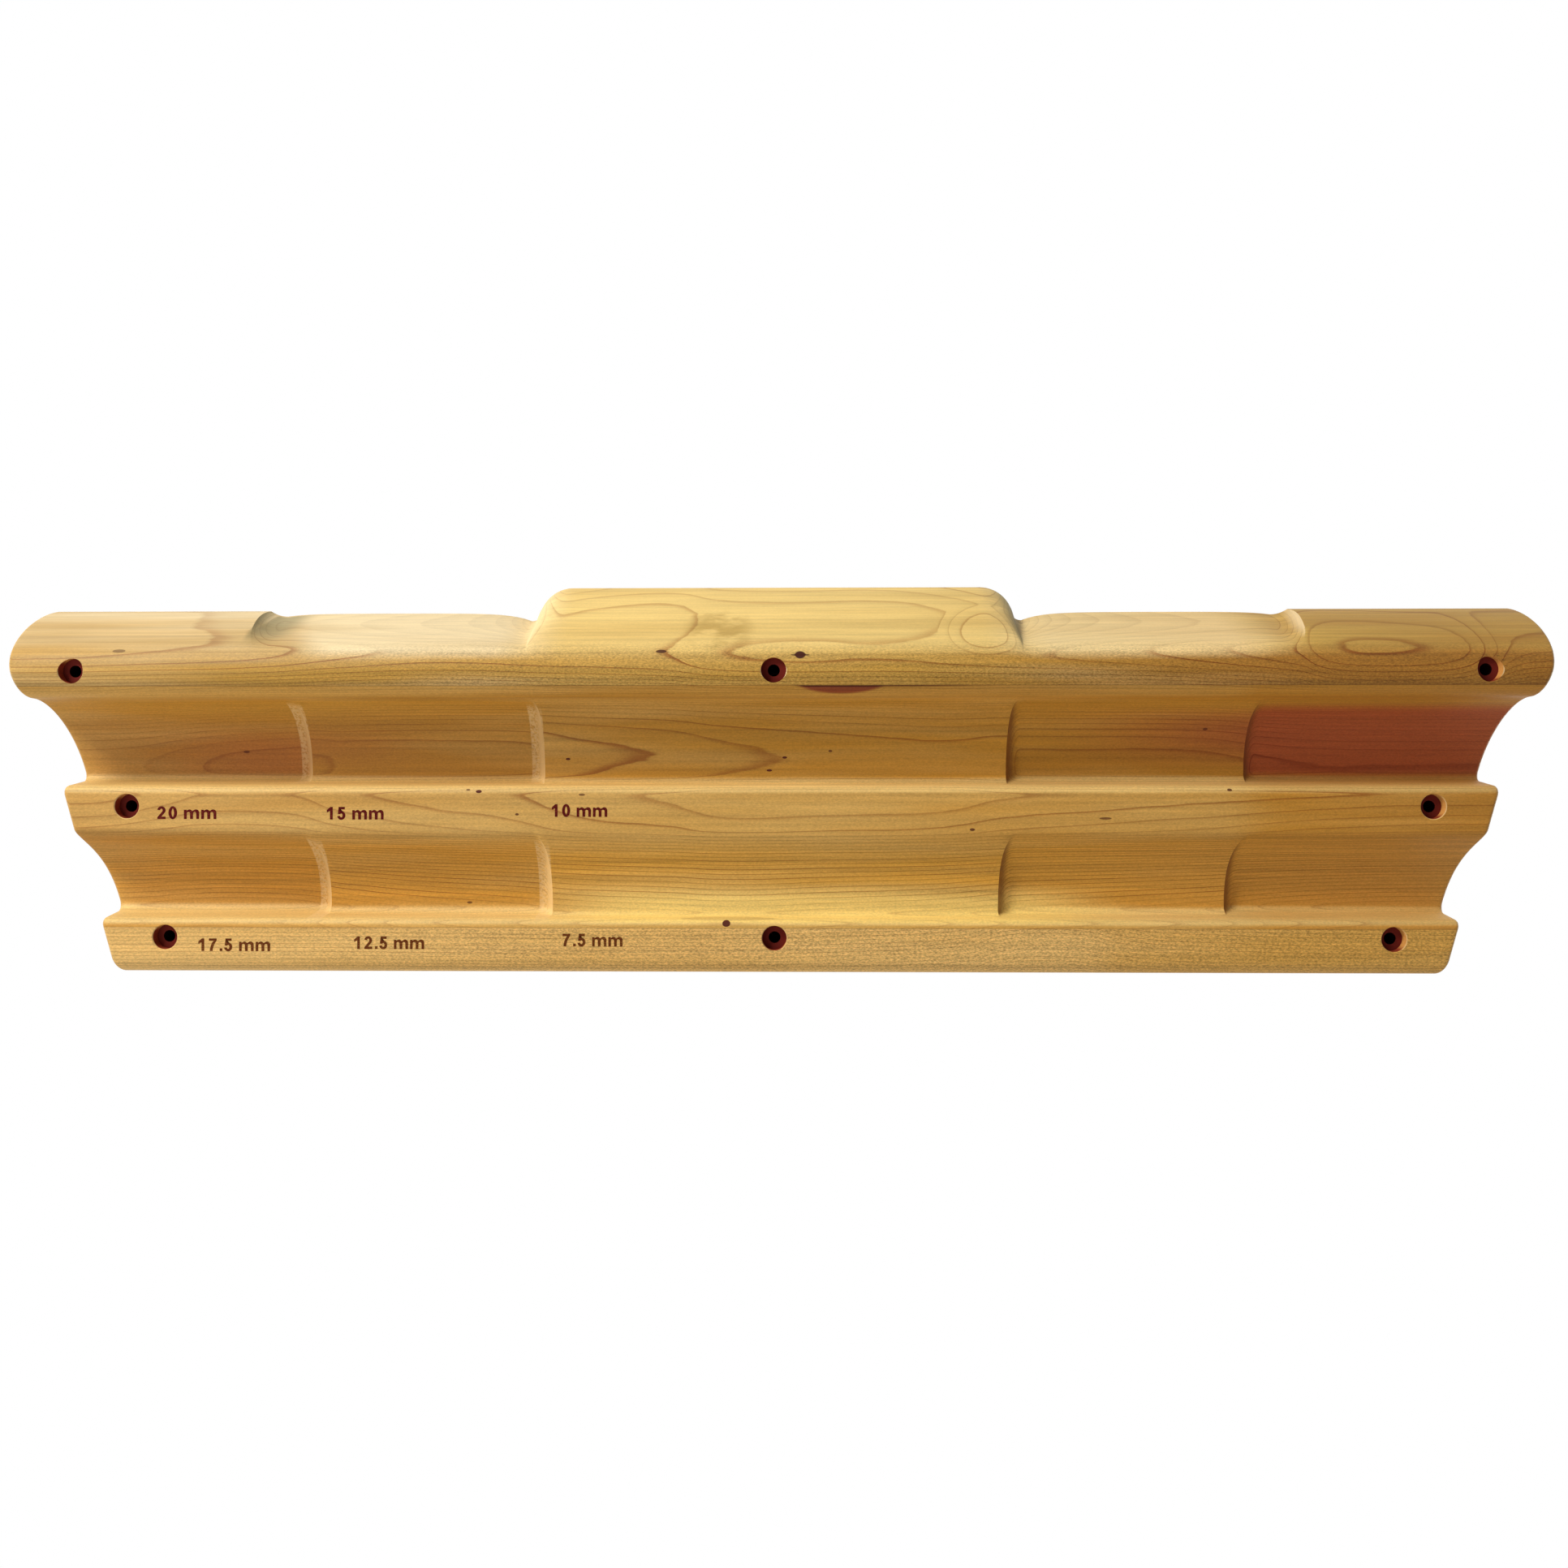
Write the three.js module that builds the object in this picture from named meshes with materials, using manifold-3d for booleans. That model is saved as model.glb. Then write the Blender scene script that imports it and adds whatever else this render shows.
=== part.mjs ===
// A finger training board for climbers, screwed flat to a wall.
// Three edge-glued hardwood staves are shaped as one: a rounded top rail with flat and raised slopers,
// a row of deep finger edges, a middle rail, a row of shallower finger edges and a plain foot rail.
// Millimetres. The wall is the plane y = 0, the face looks along -y, +z is up,
// and z = 0 is the height of the middle pair of screw holes.
import * as THREE from 'three';
import { mergeVertices, toCreasedNormals } from 'three/addons/utils/BufferGeometryUtils.js';
import Module from 'manifold-3d';

const wasm = await Module();
wasm.setup();

// Board: heights are measured from the middle screws and depths from the wall
const halfLength = 338;
const endAngle = 15.6;
const endRounding = 2.5;
const railDepth = 31.5;
const crestDepth = 45.5;
const crestHeight = 62;
const footDepth = 30;
const footDrop = 79.6;
const footRounding = 7.5;

// Glue joints between the staves
const topJointHeight = 56;
const lowJointDrop = 57.8;

// Finger edges: each depth is measured from the face of the rail below it
const upperEdgeDepths = { outer: 20, middle: 15, inner: 10 };
const lowerEdgeDepths = { outer: 17.5, middle: 12.5, inner: 7.5 };
const upperLedgeHeight = 10.1;
const lowerLedgeDrop = 53.2;
const ledgeAngle = 9.5;
const upperLipRounding = 5.2;
const lowerLipRounding = 4.5;
const floorRounding = 5;
const ceilingHeight = 51;
const ceilingDepth = 36.2;
const middleRailDrop = 11;
const rollShare = 0.165;
const sweepShare = 0.71;

// Steps from one edge depth to the next, left by a ball-ended cutter, as distances from the middle
const upperSteps = { inner: 118.3, outer: 233.5 };
const lowerSteps = { inner: 114.5, outer: 223.8 };
const cutterRadius = 8;

// Top rail: rounded wings at the ends, flat slopers beside a raised block in the middle
const wingHeight = 97.7;
const wingShares = { wallRun: 0.41, wallDrop: 0.127, crestRise: 0.38 };
const slopeHeight = 96.4;
const slopeRun = 34.5;
const slopeDrop = 18.5;
const slopeRollShares = { crestRise: 0.35, along: 0.19 };
const slopeDip = { atBlock: 4, atWing: 1.4, run: 10 };
const blockHeight = 108.9;
const blockShares = { wallRun: 0.267, wallDrop: 0.097, crestRise: 0.3 };
const wingStep = 234;
const wingStepSpread = 12;
const wingStepRadius = 15;
const blockFoot = 119;
const blockFootSpread = 3.5;
const blockSideRadius = 17;
const blockFilletRun = 4;
const blockFilletShare = 0.15;

// Counterbored screw holes, three along the top, two in the middle and three along the foot
const screwInset = 29.4;
const topScrewHeight = 63.1;
const lowScrewDrop = 62.5;
const headBore = 11.7;
const headBoreDepth = 4;
const shankBore = 5.6;

// Cuts run past the wood by this much
const overrun = 10;

// Smoothness of the arcs, the coves, the top forms, the steps and the fields between them
const arcSteps = 5;
const coveSteps = 12;
const topSteps = 16;
const stepColumns = 8;
const fieldColumns = 6;
const boreSides = 40;
const leastReachShare = 0.05;
const creaseAngle = 30;

const { degToRad, lerp } = THREE.MathUtils;
const quarterTurn = Math.PI / 2;
const endLean = Math.tan(degToRad(endAngle));
const ledgeLean = degToRad(ledgeAngle);

// Points of a profile are (depth, height) pairs, listed from the foot of the wall up round the face.
function arc(depth, height, alongDepth, alongHeight, from, to) {
  return new THREE.EllipseCurve(depth, height, alongDepth, alongHeight, from, to, to < from).getPoints(arcSteps);
}

function endX(height) {
  return halfLength + endLean * height;
}

// A rounded lip, a ledge that rises a little towards the back, and the round into the pocket's back wall.
function ledge(faceDepth, ledgeHeight, lipRounding, edgeDepth) {
  const back = faceDepth - edgeDepth;
  const rounding = Math.min(floorRounding, edgeDepth - lipRounding);
  const lipDepth = faceDepth - lipRounding;
  const lip = arc(lipDepth, ledgeHeight - lipRounding, lipRounding, lipRounding, 0, quarterTurn - ledgeLean);
  const lipEnd = lip[lip.length - 1];
  const rise = (lipEnd.x - back - rounding) * Math.tan(ledgeLean);
  const floorHeight = lipEnd.y + rise + rounding / Math.cos(ledgeLean);
  const floor = arc(back + rounding, floorHeight, rounding, rounding, -quarterTurn - ledgeLean, -Math.PI);
  return [...lip, ...floor];
}

function lowerRows(edgeDepth) {
  const foot = arc(footDepth - footRounding, footRounding - footDrop, footRounding, footRounding, -quarterTurn, 0);
  const shelf = ledge(footDepth, -lowerLedgeDrop, lowerLipRounding, edgeDepth);
  const start = shelf[shelf.length - 1];
  const end = new THREE.Vector2(railDepth, -middleRailDrop);
  const rise = end.y - start.y;
  const cove = new THREE.CubicBezierCurve(
    start,
    new THREE.Vector2(start.x, start.y + sweepShare * rise),
    new THREE.Vector2(end.x, end.y - rollShare * rise),
    end
  ).getPoints(coveSteps);
  return [new THREE.Vector2(0, -footDrop), ...foot, ...shelf, ...cove.slice(1)];
}

function upperRows(edgeDepth) {
  const shelf = ledge(railDepth, upperLedgeHeight, upperLipRounding, edgeDepth);
  const start = shelf[shelf.length - 1];
  const sweep = ceilingDepth - start.x;
  const rise = ceilingHeight - start.y;
  const cove = new THREE.EllipseCurve(ceilingDepth, start.y, sweep, rise, Math.PI, quarterTurn, true)
    .getPoints(coveSteps);
  const lipDepth = crestDepth - ceilingDepth;
  const lipHeight = crestHeight - ceilingHeight;
  const lip = arc(ceilingDepth, crestHeight, lipDepth, lipHeight, -quarterTurn, 0);
  return [...shelf, ...cove.slice(1), ...lip.slice(1)];
}

// A top form that rolls from the crest back to the wall in one sweep.
function sweptTop(height, shares) {
  const rise = height - crestHeight;
  return new THREE.CubicBezierCurve(
    new THREE.Vector2(crestDepth, crestHeight),
    new THREE.Vector2(crestDepth, crestHeight + shares.crestRise * rise),
    new THREE.Vector2(shares.wallRun * crestDepth, height - shares.wallDrop * rise),
    new THREE.Vector2(0, height)
  ).getPoints(topSteps).slice(1);
}

// A flat sloper falls from the wall to a soft arris and rolls on to the crest.
function flatTop() {
  const arris = new THREE.Vector2(slopeRun, slopeHeight - slopeDrop);
  const along = new THREE.Vector2(slopeRun, -slopeDrop).multiplyScalar(slopeRollShares.along);
  const roll = new THREE.CubicBezierCurve(
    new THREE.Vector2(crestDepth, crestHeight),
    new THREE.Vector2(crestDepth, lerp(crestHeight, arris.y, slopeRollShares.crestRise)),
    arris.clone().add(along),
    arris
  ).getPoints(topSteps / 2);
  const slope = new THREE.LineCurve(arris, new THREE.Vector2(0, slopeHeight)).getPoints(topSteps / 2);
  return [...roll.slice(1), ...slope.slice(1)];
}

// How far along a round of this radius a step of this height reaches.
function reach(radius, height) {
  const kept = Math.min(Math.max(height, radius * leastReachShare), radius);
  return Math.sqrt(radius ** 2 - (radius - kept) ** 2);
}

function climb(radius, run) {
  return radius - Math.sqrt(Math.max(radius ** 2 - run ** 2, 0));
}

// A row of the grid crosses a step between two forms: it leaves one form smoothly and meets the other in an arris.
function roundStep(smooth, sharp, radius, smoothX, sign) {
  const far = reach(radius, smooth.distanceTo(sharp));
  const total = climb(radius, far);
  const points = [];
  for (let k = 0; k <= stepColumns; k++) {
    const run = (far * k) / stepColumns;
    const p = smooth.clone().lerp(sharp, climb(radius, run) / total);
    points.push({ x: smoothX + sign * run, depth: p.x, height: p.y });
  }
  return points;
}

// The block's side rolls over from its top and ends in a small fillet on the flat sloper.
function blockSide(top, slope, footX) {
  const filletColumns = stepColumns / 4;
  const rollColumns = stepColumns - filletColumns;
  const rollShareOfHeight = 1 - blockFilletShare;
  const far = reach(blockSideRadius, top.distanceTo(slope) * rollShareOfHeight);
  const total = climb(blockSideRadius, far);
  const points = [];
  for (let k = 0; k <= rollColumns; k++) {
    const run = (far * k) / rollColumns;
    const p = top.clone().lerp(slope, (rollShareOfHeight * climb(blockSideRadius, run)) / total);
    points.push({ x: footX - blockFilletRun - far + run, depth: p.x, height: p.y });
  }
  for (let k = 1; k <= filletColumns; k++) {
    const angle = (quarterTurn * k) / filletColumns;
    const p = top.clone().lerp(slope, rollShareOfHeight + blockFilletShare * Math.sin(angle));
    points.push({ x: footX - blockFilletRun * Math.cos(angle), depth: p.x, height: p.y });
  }
  return points;
}

// Columns across the field between two steps, closer together beside each step.
function field(from, to) {
  const points = [];
  for (let k = 1; k < fieldColumns; k++) {
    const share = (1 - Math.cos((Math.PI * k) / fieldColumns)) / 2;
    points.push({
      x: lerp(from.x, to.x, share),
      depth: lerp(from.depth, to.depth, share),
      height: lerp(from.height, to.height, share),
    });
  }
  return points;
}

function backShare(depth) {
  return 1 - depth / crestDepth;
}

// How far the flat sloper's back edge dips beside the block and beside the wing's step.
function dip(x, footX, stepX) {
  const besideBlock = slopeDip.atBlock * Math.exp((footX - x) / slopeDip.run);
  const besideWing = slopeDip.atWing * Math.exp((x - stepX) / slopeDip.run);
  return besideBlock + besideWing;
}

const lower = {
  inner: lowerRows(lowerEdgeDepths.inner),
  middle: lowerRows(lowerEdgeDepths.middle),
  outer: lowerRows(lowerEdgeDepths.outer),
};
const upper = {
  inner: upperRows(upperEdgeDepths.inner),
  middle: upperRows(upperEdgeDepths.middle),
  outer: upperRows(upperEdgeDepths.outer),
};
const tops = {
  block: sweptTop(blockHeight, blockShares),
  flat: flatTop(),
  wing: sweptTop(wingHeight, wingShares),
};

// The end's columns draw the whole outline in by a quarter round, and lie in the leaning end plane.
function endColumns(outline) {
  return outline.map((point, i) => {
    const before = outline[Math.max(i - 1, 0)];
    const after = outline[Math.min(i + 1, outline.length - 1)];
    const inward = new THREE.Vector2(before.y - after.y, after.x - before.x).normalize();
    const bend = Math.max(
      Math.abs(inward.dot(new THREE.Vector2(point.y - before.y, before.x - point.x).normalize())),
      1 / 2
    );
    const onWall = point.x === 0;
    const points = [];
    for (let k = 0; k <= arcSteps; k++) {
      const angle = (quarterTurn * k) / arcSteps;
      const draw = endRounding * (1 - Math.cos(angle));
      const p = onWall
        ? new THREE.Vector2(0, point.y - Math.sign(point.y) * draw)
        : point.clone().addScaledVector(inward, draw / bend);
      points.push({ x: endX(p.y) - endRounding * (1 - Math.sin(angle)), depth: p.x, height: p.y });
    }
    return points;
  });
}

// Right half of the board as a grid: one row for each point of the profile, columns from the middle outwards.
function halfBoard() {
  const rows = [];
  for (const [edges, steps] of [[lower, lowerSteps], [upper, upperSteps]]) {
    edges.middle.forEach((point, i) => {
      const near = roundStep(point, edges.inner[i], cutterRadius, steps.inner, -1).reverse();
      const far = roundStep(edges.outer[i], point, cutterRadius, steps.outer, -1).reverse();
      rows.push([...near, ...field(near.at(-1), far[0]), ...far]);
    });
  }
  tops.flat.forEach((point, i) => {
    const back = backShare(point.x);
    const footX = blockFoot + blockFootSpread * back;
    const stepX = wingStep + wingStepSpread * back;
    const dipped = (x) => new THREE.Vector2(point.x, point.y - back * dip(x, footX, stepX));
    const near = blockSide(tops.block[i], dipped(footX), footX);
    const far = roundStep(dipped(stepX), tops.wing[i], wingStepRadius, stepX, 1);
    const slope = field(near.at(-1), far[0]).map((p) => ({ ...p, height: dipped(p.x).y }));
    rows.push([...near, ...slope, ...far]);
  });
  const ends = endColumns([...lower.outer, ...upper.outer, ...tops.wing]);
  return rows.map((row, i) => [...row, ...ends[i]]);
}

function boardGeometry() {
  const half = halfBoard();
  const mirrored = half.map((row) => row.map((p) => ({ ...p, x: -p.x })).reverse());
  const grid = half.map((row, i) => [...mirrored[i], ...row]);
  const rowCount = grid.length;
  const columnCount = grid[0].length;
  const positions = grid.flatMap((row) => row.flatMap((p) => [p.x, -p.depth, p.height]));
  const at = (row, column) => (row % rowCount) * columnCount + column;
  const index = [];
  for (let i = 0; i < rowCount; i++) {
    for (let j = 0; j < columnCount - 1; j++) {
      index.push(at(i, j), at(i, j + 1), at(i + 1, j + 1));
      index.push(at(i, j), at(i + 1, j + 1), at(i + 1, j));
    }
  }
  const outline = grid.map((row) => new THREE.Vector2(row[0].depth, row[0].height));
  for (const [a, b, c] of THREE.ShapeUtils.triangulateShape(outline, [])) {
    index.push(at(a, 0), at(b, 0), at(c, 0));
    index.push(at(a, columnCount - 1), at(c, columnCount - 1), at(b, columnCount - 1));
  }
  return new THREE.BufferGeometry()
    .setAttribute('position', new THREE.Float32BufferAttribute(positions, 3))
    .setIndex(index);
}

// Solids for cutting and back again
function solid(geometry) {
  const bare = geometry.clone();
  bare.deleteAttribute('normal');
  bare.deleteAttribute('uv');
  const merged = mergeVertices(bare);
  return new wasm.Manifold(
    new wasm.Mesh({
      numProp: 3,
      vertProperties: merged.attributes.position.array,
      triVerts: new Uint32Array(merged.index.array),
    })
  );
}

function geometryOf(cut) {
  const mesh = cut.getMesh();
  const geometry = new THREE.BufferGeometry()
    .setAttribute('position', new THREE.BufferAttribute(mesh.vertProperties, 3))
    .setIndex(new THREE.BufferAttribute(mesh.triVerts, 1));
  return toCreasedNormals(geometry, degToRad(creaseAngle));
}

function slab(from, to) {
  const width = 2 * (endX(blockHeight) + overrun);
  const depth = 2 * (crestDepth + overrun);
  return solid(new THREE.BoxGeometry(width, depth, to - from).translate(0, 0, (from + to) / 2));
}

// A stepped cutter: the screw's shank goes right through and its head sinks below the face.
function screwHole(x, height, faceDepth) {
  const seat = faceDepth - headBoreDepth;
  const profile = [
    new THREE.Vector2(0, -overrun),
    new THREE.Vector2(shankBore / 2, -overrun),
    new THREE.Vector2(shankBore / 2, seat),
    new THREE.Vector2(headBore / 2, seat),
    new THREE.Vector2(headBore / 2, crestDepth + overrun),
    new THREE.Vector2(0, crestDepth + overrun),
  ];
  const turned = new THREE.LatheGeometry(profile, boreSides).rotateX(Math.PI);
  return solid(turned.translate(x, 0, height));
}

function screwRow(height, faceDepth, withMiddle) {
  const side = endX(height) - screwInset;
  const places = withMiddle ? [-side, 0, side] : [-side, side];
  return places.map((x) => screwHole(x, height, faceDepth));
}

const holes = [
  ...screwRow(topScrewHeight, crestDepth, true),
  ...screwRow(0, railDepth, false),
  ...screwRow(-lowScrewDrop, footDepth, true),
];
const board = holes.reduce((wood, hole) => wood.subtract(hole), solid(boardGeometry()));
const topSlab = slab(topJointHeight, blockHeight + overrun);
const lowSlab = slab(-footDrop - overrun, -lowJointDrop);
const belowTop = board.subtract(topSlab);

function stave(name, wood, colour) {
  const material = new THREE.MeshStandardMaterial({ color: colour, roughness: 0.62, metalness: 0 });
  const mesh = new THREE.Mesh(geometryOf(wood), material);
  mesh.name = name;
  return mesh;
}

const group = new THREE.Group();
group.name = 'hangboard';
group.add(
  stave('top_stave', board.intersect(topSlab), 0xdcb57c),
  stave('centre_stave', belowTop.subtract(lowSlab), 0xc9965a),
  stave('bottom_stave', belowTop.intersect(lowSlab), 0xcba066)
);

export default group;
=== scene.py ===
"""Looks for a wooden finger training board, made of three glued staves.

Shapes are worked out in millimetres in the frame's axes: the wall is the plane y = 0, the face looks
along -y, +z is up, and z = 0 is the height of the middle pair of screw holes. A profile point is a pair
(depth, height), where depth is how far it stands out from the wall.
"""
import math

import bmesh
import bpy
import numpy as np
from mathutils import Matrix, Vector


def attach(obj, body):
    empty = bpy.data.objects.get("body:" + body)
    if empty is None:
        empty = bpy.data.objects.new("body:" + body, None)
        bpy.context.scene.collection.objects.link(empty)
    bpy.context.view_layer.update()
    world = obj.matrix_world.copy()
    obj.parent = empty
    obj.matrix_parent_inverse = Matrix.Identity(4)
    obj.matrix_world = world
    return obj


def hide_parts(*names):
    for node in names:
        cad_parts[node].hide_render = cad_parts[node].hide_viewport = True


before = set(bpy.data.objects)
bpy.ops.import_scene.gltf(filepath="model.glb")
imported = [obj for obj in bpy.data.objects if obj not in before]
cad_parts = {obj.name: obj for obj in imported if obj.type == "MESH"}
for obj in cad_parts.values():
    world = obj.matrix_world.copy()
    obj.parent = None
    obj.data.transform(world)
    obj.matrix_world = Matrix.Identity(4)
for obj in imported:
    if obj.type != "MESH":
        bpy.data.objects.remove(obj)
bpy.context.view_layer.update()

MM = 0.001
QUARTER_TURN = math.pi / 2

# Board, all in millimetres
HALF_LENGTH = 338.0
END_LEAN = math.tan(math.radians(15.6))
END_ROUNDING = 2.5
CREST_DEPTH = 45.5
CREST_HEIGHT = 62.0
CEILING = (36.2, 51.0)
RAIL_DEPTH = 31.5
RAIL_FOOT = -11.0
FOOT_DEPTH = 30.0
FOOT_DROP = 79.6
FOOT_ROUNDING = 7.5
TOP_JOINT = 56.0
LOW_JOINT = -57.8

# Finger edges: each ledge's height and lip, its depths from the middle outward, and where they step
UPPER_LEDGE, UPPER_LIP = 10.1, 5.2
LOWER_LEDGE, LOWER_LIP = -53.2, 4.5
UPPER_EDGES = (10.0, 15.0, 20.0)
LOWER_EDGES = (7.5, 12.5, 17.5)
UPPER_STEPS = (118.3, 233.5)
LOWER_STEPS = (114.5, 223.8)
LEDGE_LEAN = math.radians(9.5)
LEDGE_FILLET = 5.0
CUTTER_RADIUS = 8.0

# Top: wing, flat sloper and raised block; the steps between them lean as the top comes forward
WING_HEIGHT = 97.7
SLOPE_HEIGHT = 96.4
SLOPE_RUN, SLOPE_DROP = 34.5, 18.5
BLOCK_HEIGHT = 108.9
BLOCK_FOOT, BLOCK_FOOT_LEAN = 119.0, 3.5
BLOCK_RADIUS, BLOCK_FILLET = 17.0, 4.0
WING_STEP, WING_STEP_LEAN = 234.0, 12.0
WING_STEP_RADIUS = 15.0
BLOCK_DIP, WING_DIP, DIP_REACH = 4.0, 1.4, 10.0

# Screw holes: each row's height, the depth of its face, and whether it has a hole in the middle
HOLE_ROWS = ((63.1, CREST_DEPTH, True), (0.0, RAIL_DEPTH, False), (-62.5, FOOT_DEPTH, True))
HOLE_INSET = 29.4
HEAD_BORE = 5.85
SHANK_BORE = 2.8
SEAT_DEPTH = 4.0
BORE_CHAMFER = 0.35
PAST_WALL, PAST_FACE = 10.0, 3.0

# Shares that draw the curves; a sweep has its run and drop at the wall and its rise at the crest
COVE_PULLS = (0.71, 0.165)
BLOCK_SWEEP = (0.267, 0.097, 0.3)
WING_SWEEP = (0.41, 0.127, 0.38)
CREST_PULL, ARRIS_PULL = 0.35, 0.19
FILLET_SHARE = 0.15
LEAST_STEP_SHARE = 0.05
SHARPEST_MITRE = 0.5

# Fineness of the surfaces
ARC = 12
COVE = 40
TOP = 44
STEP = 20
PLAIN = 34
FLAT = 4
FACE = 6
END_COLUMNS = 9
BORE_SIDES = 64
SHARP_ANGLE = math.radians(34)


# Profiles

def arc(centre, half, start, end, count=ARC):
    """Points of an ellipse with these half axes round a centre, between two angles in radians."""
    angle = np.linspace(start, end, count + 1)
    return np.stack([centre[0] + half[0] * np.cos(angle), centre[1] + half[1] * np.sin(angle)], axis=1)


def bezier(points, count):
    """A cubic curve with four control points, sampled evenly in its parameter."""
    t = np.linspace(0, 1, count + 1)[:, None]
    p = np.array(points, dtype=float)
    s = 1 - t
    return s ** 3 * p[0] + 3 * s * s * t * p[1] + 3 * s * t * t * p[2] + t ** 3 * p[3]


def points_between(first, last, count):
    """Evenly spaced points strictly between two points."""
    share = np.linspace(0, 1, count + 2)[1:-1, None]
    return first * (1 - share) + last * share


def ledge(face, height, lip_rounding, edge_depth):
    """Rounded lip, ledge rising to the back, and the fillet into the pocket's back wall."""
    back = face - edge_depth
    fillet = min(LEDGE_FILLET, edge_depth - lip_rounding)
    lip_centre = (face - lip_rounding, height - lip_rounding)
    lip = arc(lip_centre, (lip_rounding, lip_rounding), 0, QUARTER_TURN - LEDGE_LEAN)
    rise = (lip[-1, 0] - back - fillet) * math.tan(LEDGE_LEAN)
    floor_centre = (back + fillet, lip[-1, 1] + rise + fillet / math.cos(LEDGE_LEAN))
    floor = arc(floor_centre, (fillet, fillet), -QUARTER_TURN - LEDGE_LEAN, -math.pi)
    return np.vstack([lip, points_between(lip[-1], floor[0], FLAT), floor])


def lower_profile(edge_depth):
    """Foot rail, lower ledge, and the cove that sweeps up to the middle rail."""
    foot_centre = (FOOT_DEPTH - FOOT_ROUNDING, FOOT_ROUNDING - FOOT_DROP)
    foot = arc(foot_centre, (FOOT_ROUNDING, FOOT_ROUNDING), -QUARTER_TURN, 0)
    shelf = ledge(FOOT_DEPTH, LOWER_LEDGE, LOWER_LIP, edge_depth)
    start = shelf[-1]
    rise = RAIL_FOOT - start[1]
    leaving, meeting = COVE_PULLS
    cove = bezier([
        start,
        (start[0], start[1] + leaving * rise),
        (RAIL_DEPTH, RAIL_FOOT - meeting * rise),
        (RAIL_DEPTH, RAIL_FOOT),
    ], COVE)
    face = points_between(foot[-1], shelf[0], FACE)
    return np.vstack([[(0, -FOOT_DROP)], foot, face, shelf, cove[1:]])


def upper_profile(edge_depth):
    """Middle rail's face, upper ledge, and the cove that ends in the lip of the crest."""
    shelf = ledge(RAIL_DEPTH, UPPER_LEDGE, UPPER_LIP, edge_depth)
    start = shelf[-1]
    deep, high = CEILING
    cove = arc((deep, start[1]), (deep - start[0], high - start[1]), math.pi, QUARTER_TURN, COVE)
    lip = arc((deep, CREST_HEIGHT), (CREST_DEPTH - deep, CREST_HEIGHT - high), -QUARTER_TURN, 0)
    face = points_between(np.array([RAIL_DEPTH, RAIL_FOOT]), shelf[0], FACE)
    return np.vstack([face, shelf, cove[1:], lip[1:]])


def swept_top(height, wall_run, wall_drop, crest_rise):
    """A top that rolls from the crest back to the wall in one cubic sweep."""
    rise = height - CREST_HEIGHT
    return bezier([
        (CREST_DEPTH, CREST_HEIGHT),
        (CREST_DEPTH, CREST_HEIGHT + crest_rise * rise),
        (wall_run * CREST_DEPTH, height - wall_drop * rise),
        (0, height),
    ], TOP)[1:]


def flat_top():
    """A flat sloper that falls from the wall to a soft arris, then rolls on to the crest."""
    arris = np.array([SLOPE_RUN, SLOPE_HEIGHT - SLOPE_DROP])
    roll = bezier([
        (CREST_DEPTH, CREST_HEIGHT),
        (CREST_DEPTH, CREST_HEIGHT + CREST_PULL * (arris[1] - CREST_HEIGHT)),
        arris + ARRIS_PULL * np.array([SLOPE_RUN, -SLOPE_DROP]),
        arris,
    ], TOP // 2)
    share = np.linspace(0, 1, TOP // 2 + 1)[1:, None]
    slope = arris * (1 - share) + np.array([0, SLOPE_HEIGHT]) * share
    return np.vstack([roll[1:], slope])


def profile(place, top):
    """The whole profile of one of the three depths, counted from the middle of the board outward."""
    return np.vstack([lower_profile(LOWER_EDGES[place]), upper_profile(UPPER_EDGES[place]), top])


INNER = profile(0, swept_top(BLOCK_HEIGHT, *BLOCK_SWEEP))
MIDDLE = profile(1, flat_top())
OUTER = profile(2, swept_top(WING_HEIGHT, *WING_SWEEP))
LOWER_ROWS = len(lower_profile(LOWER_EDGES[0]))
TOP_ROWS = len(flat_top())
ROWS = len(MIDDLE)


# Columns from the middle of the board to its end

def climb(radius, run):
    """Height of a round of this radius at a distance from where it leaves the tangent."""
    return radius - np.sqrt(np.maximum(radius ** 2 - run ** 2, 0))


def reach(radius, height):
    """How far along such a round a step of this height reaches."""
    kept = np.clip(height, radius * LEAST_STEP_SHARE, radius)
    return np.sqrt(radius ** 2 - (radius - kept) ** 2)


def round_step(smooth, sharp, radius, smooth_x, sign):
    """A step between two forms: it leaves one form smoothly and meets the other in an arris."""
    far = reach(radius, np.linalg.norm(smooth - sharp, axis=1))[:, None]
    run = far * np.linspace(0, 1, STEP + 1)[None, :]
    share = (climb(radius, run) / climb(radius, far))[:, :, None]
    point = smooth[:, None, :] * (1 - share) + sharp[:, None, :] * share
    x = smooth_x[:, None] + sign * run
    return np.concatenate([x[:, :, None], point], axis=2)


def block_side(top, slope, foot_x):
    """The raised block's side: a round over most of its height, then a small fillet on the sloper."""
    fillet_steps = STEP // 3
    roll_steps = STEP - fillet_steps
    roll_share = 1 - FILLET_SHARE
    far = reach(BLOCK_RADIUS, np.linalg.norm(top - slope, axis=1) * roll_share)[:, None]
    run = far * np.linspace(0, 1, roll_steps + 1)[None, :]
    share = roll_share * climb(BLOCK_RADIUS, run) / climb(BLOCK_RADIUS, far)
    x = foot_x[:, None] - BLOCK_FILLET - far + run
    angle = np.linspace(0, QUARTER_TURN, fillet_steps + 1)[None, 1:]
    share = np.hstack([share, np.repeat(roll_share + FILLET_SHARE * np.sin(angle), len(top), axis=0)])
    x = np.hstack([x, foot_x[:, None] - BLOCK_FILLET * np.cos(angle)])
    point = top[:, None, :] * (1 - share[:, :, None]) + slope[:, None, :] * share[:, :, None]
    return np.concatenate([x[:, :, None], point], axis=2)


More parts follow.
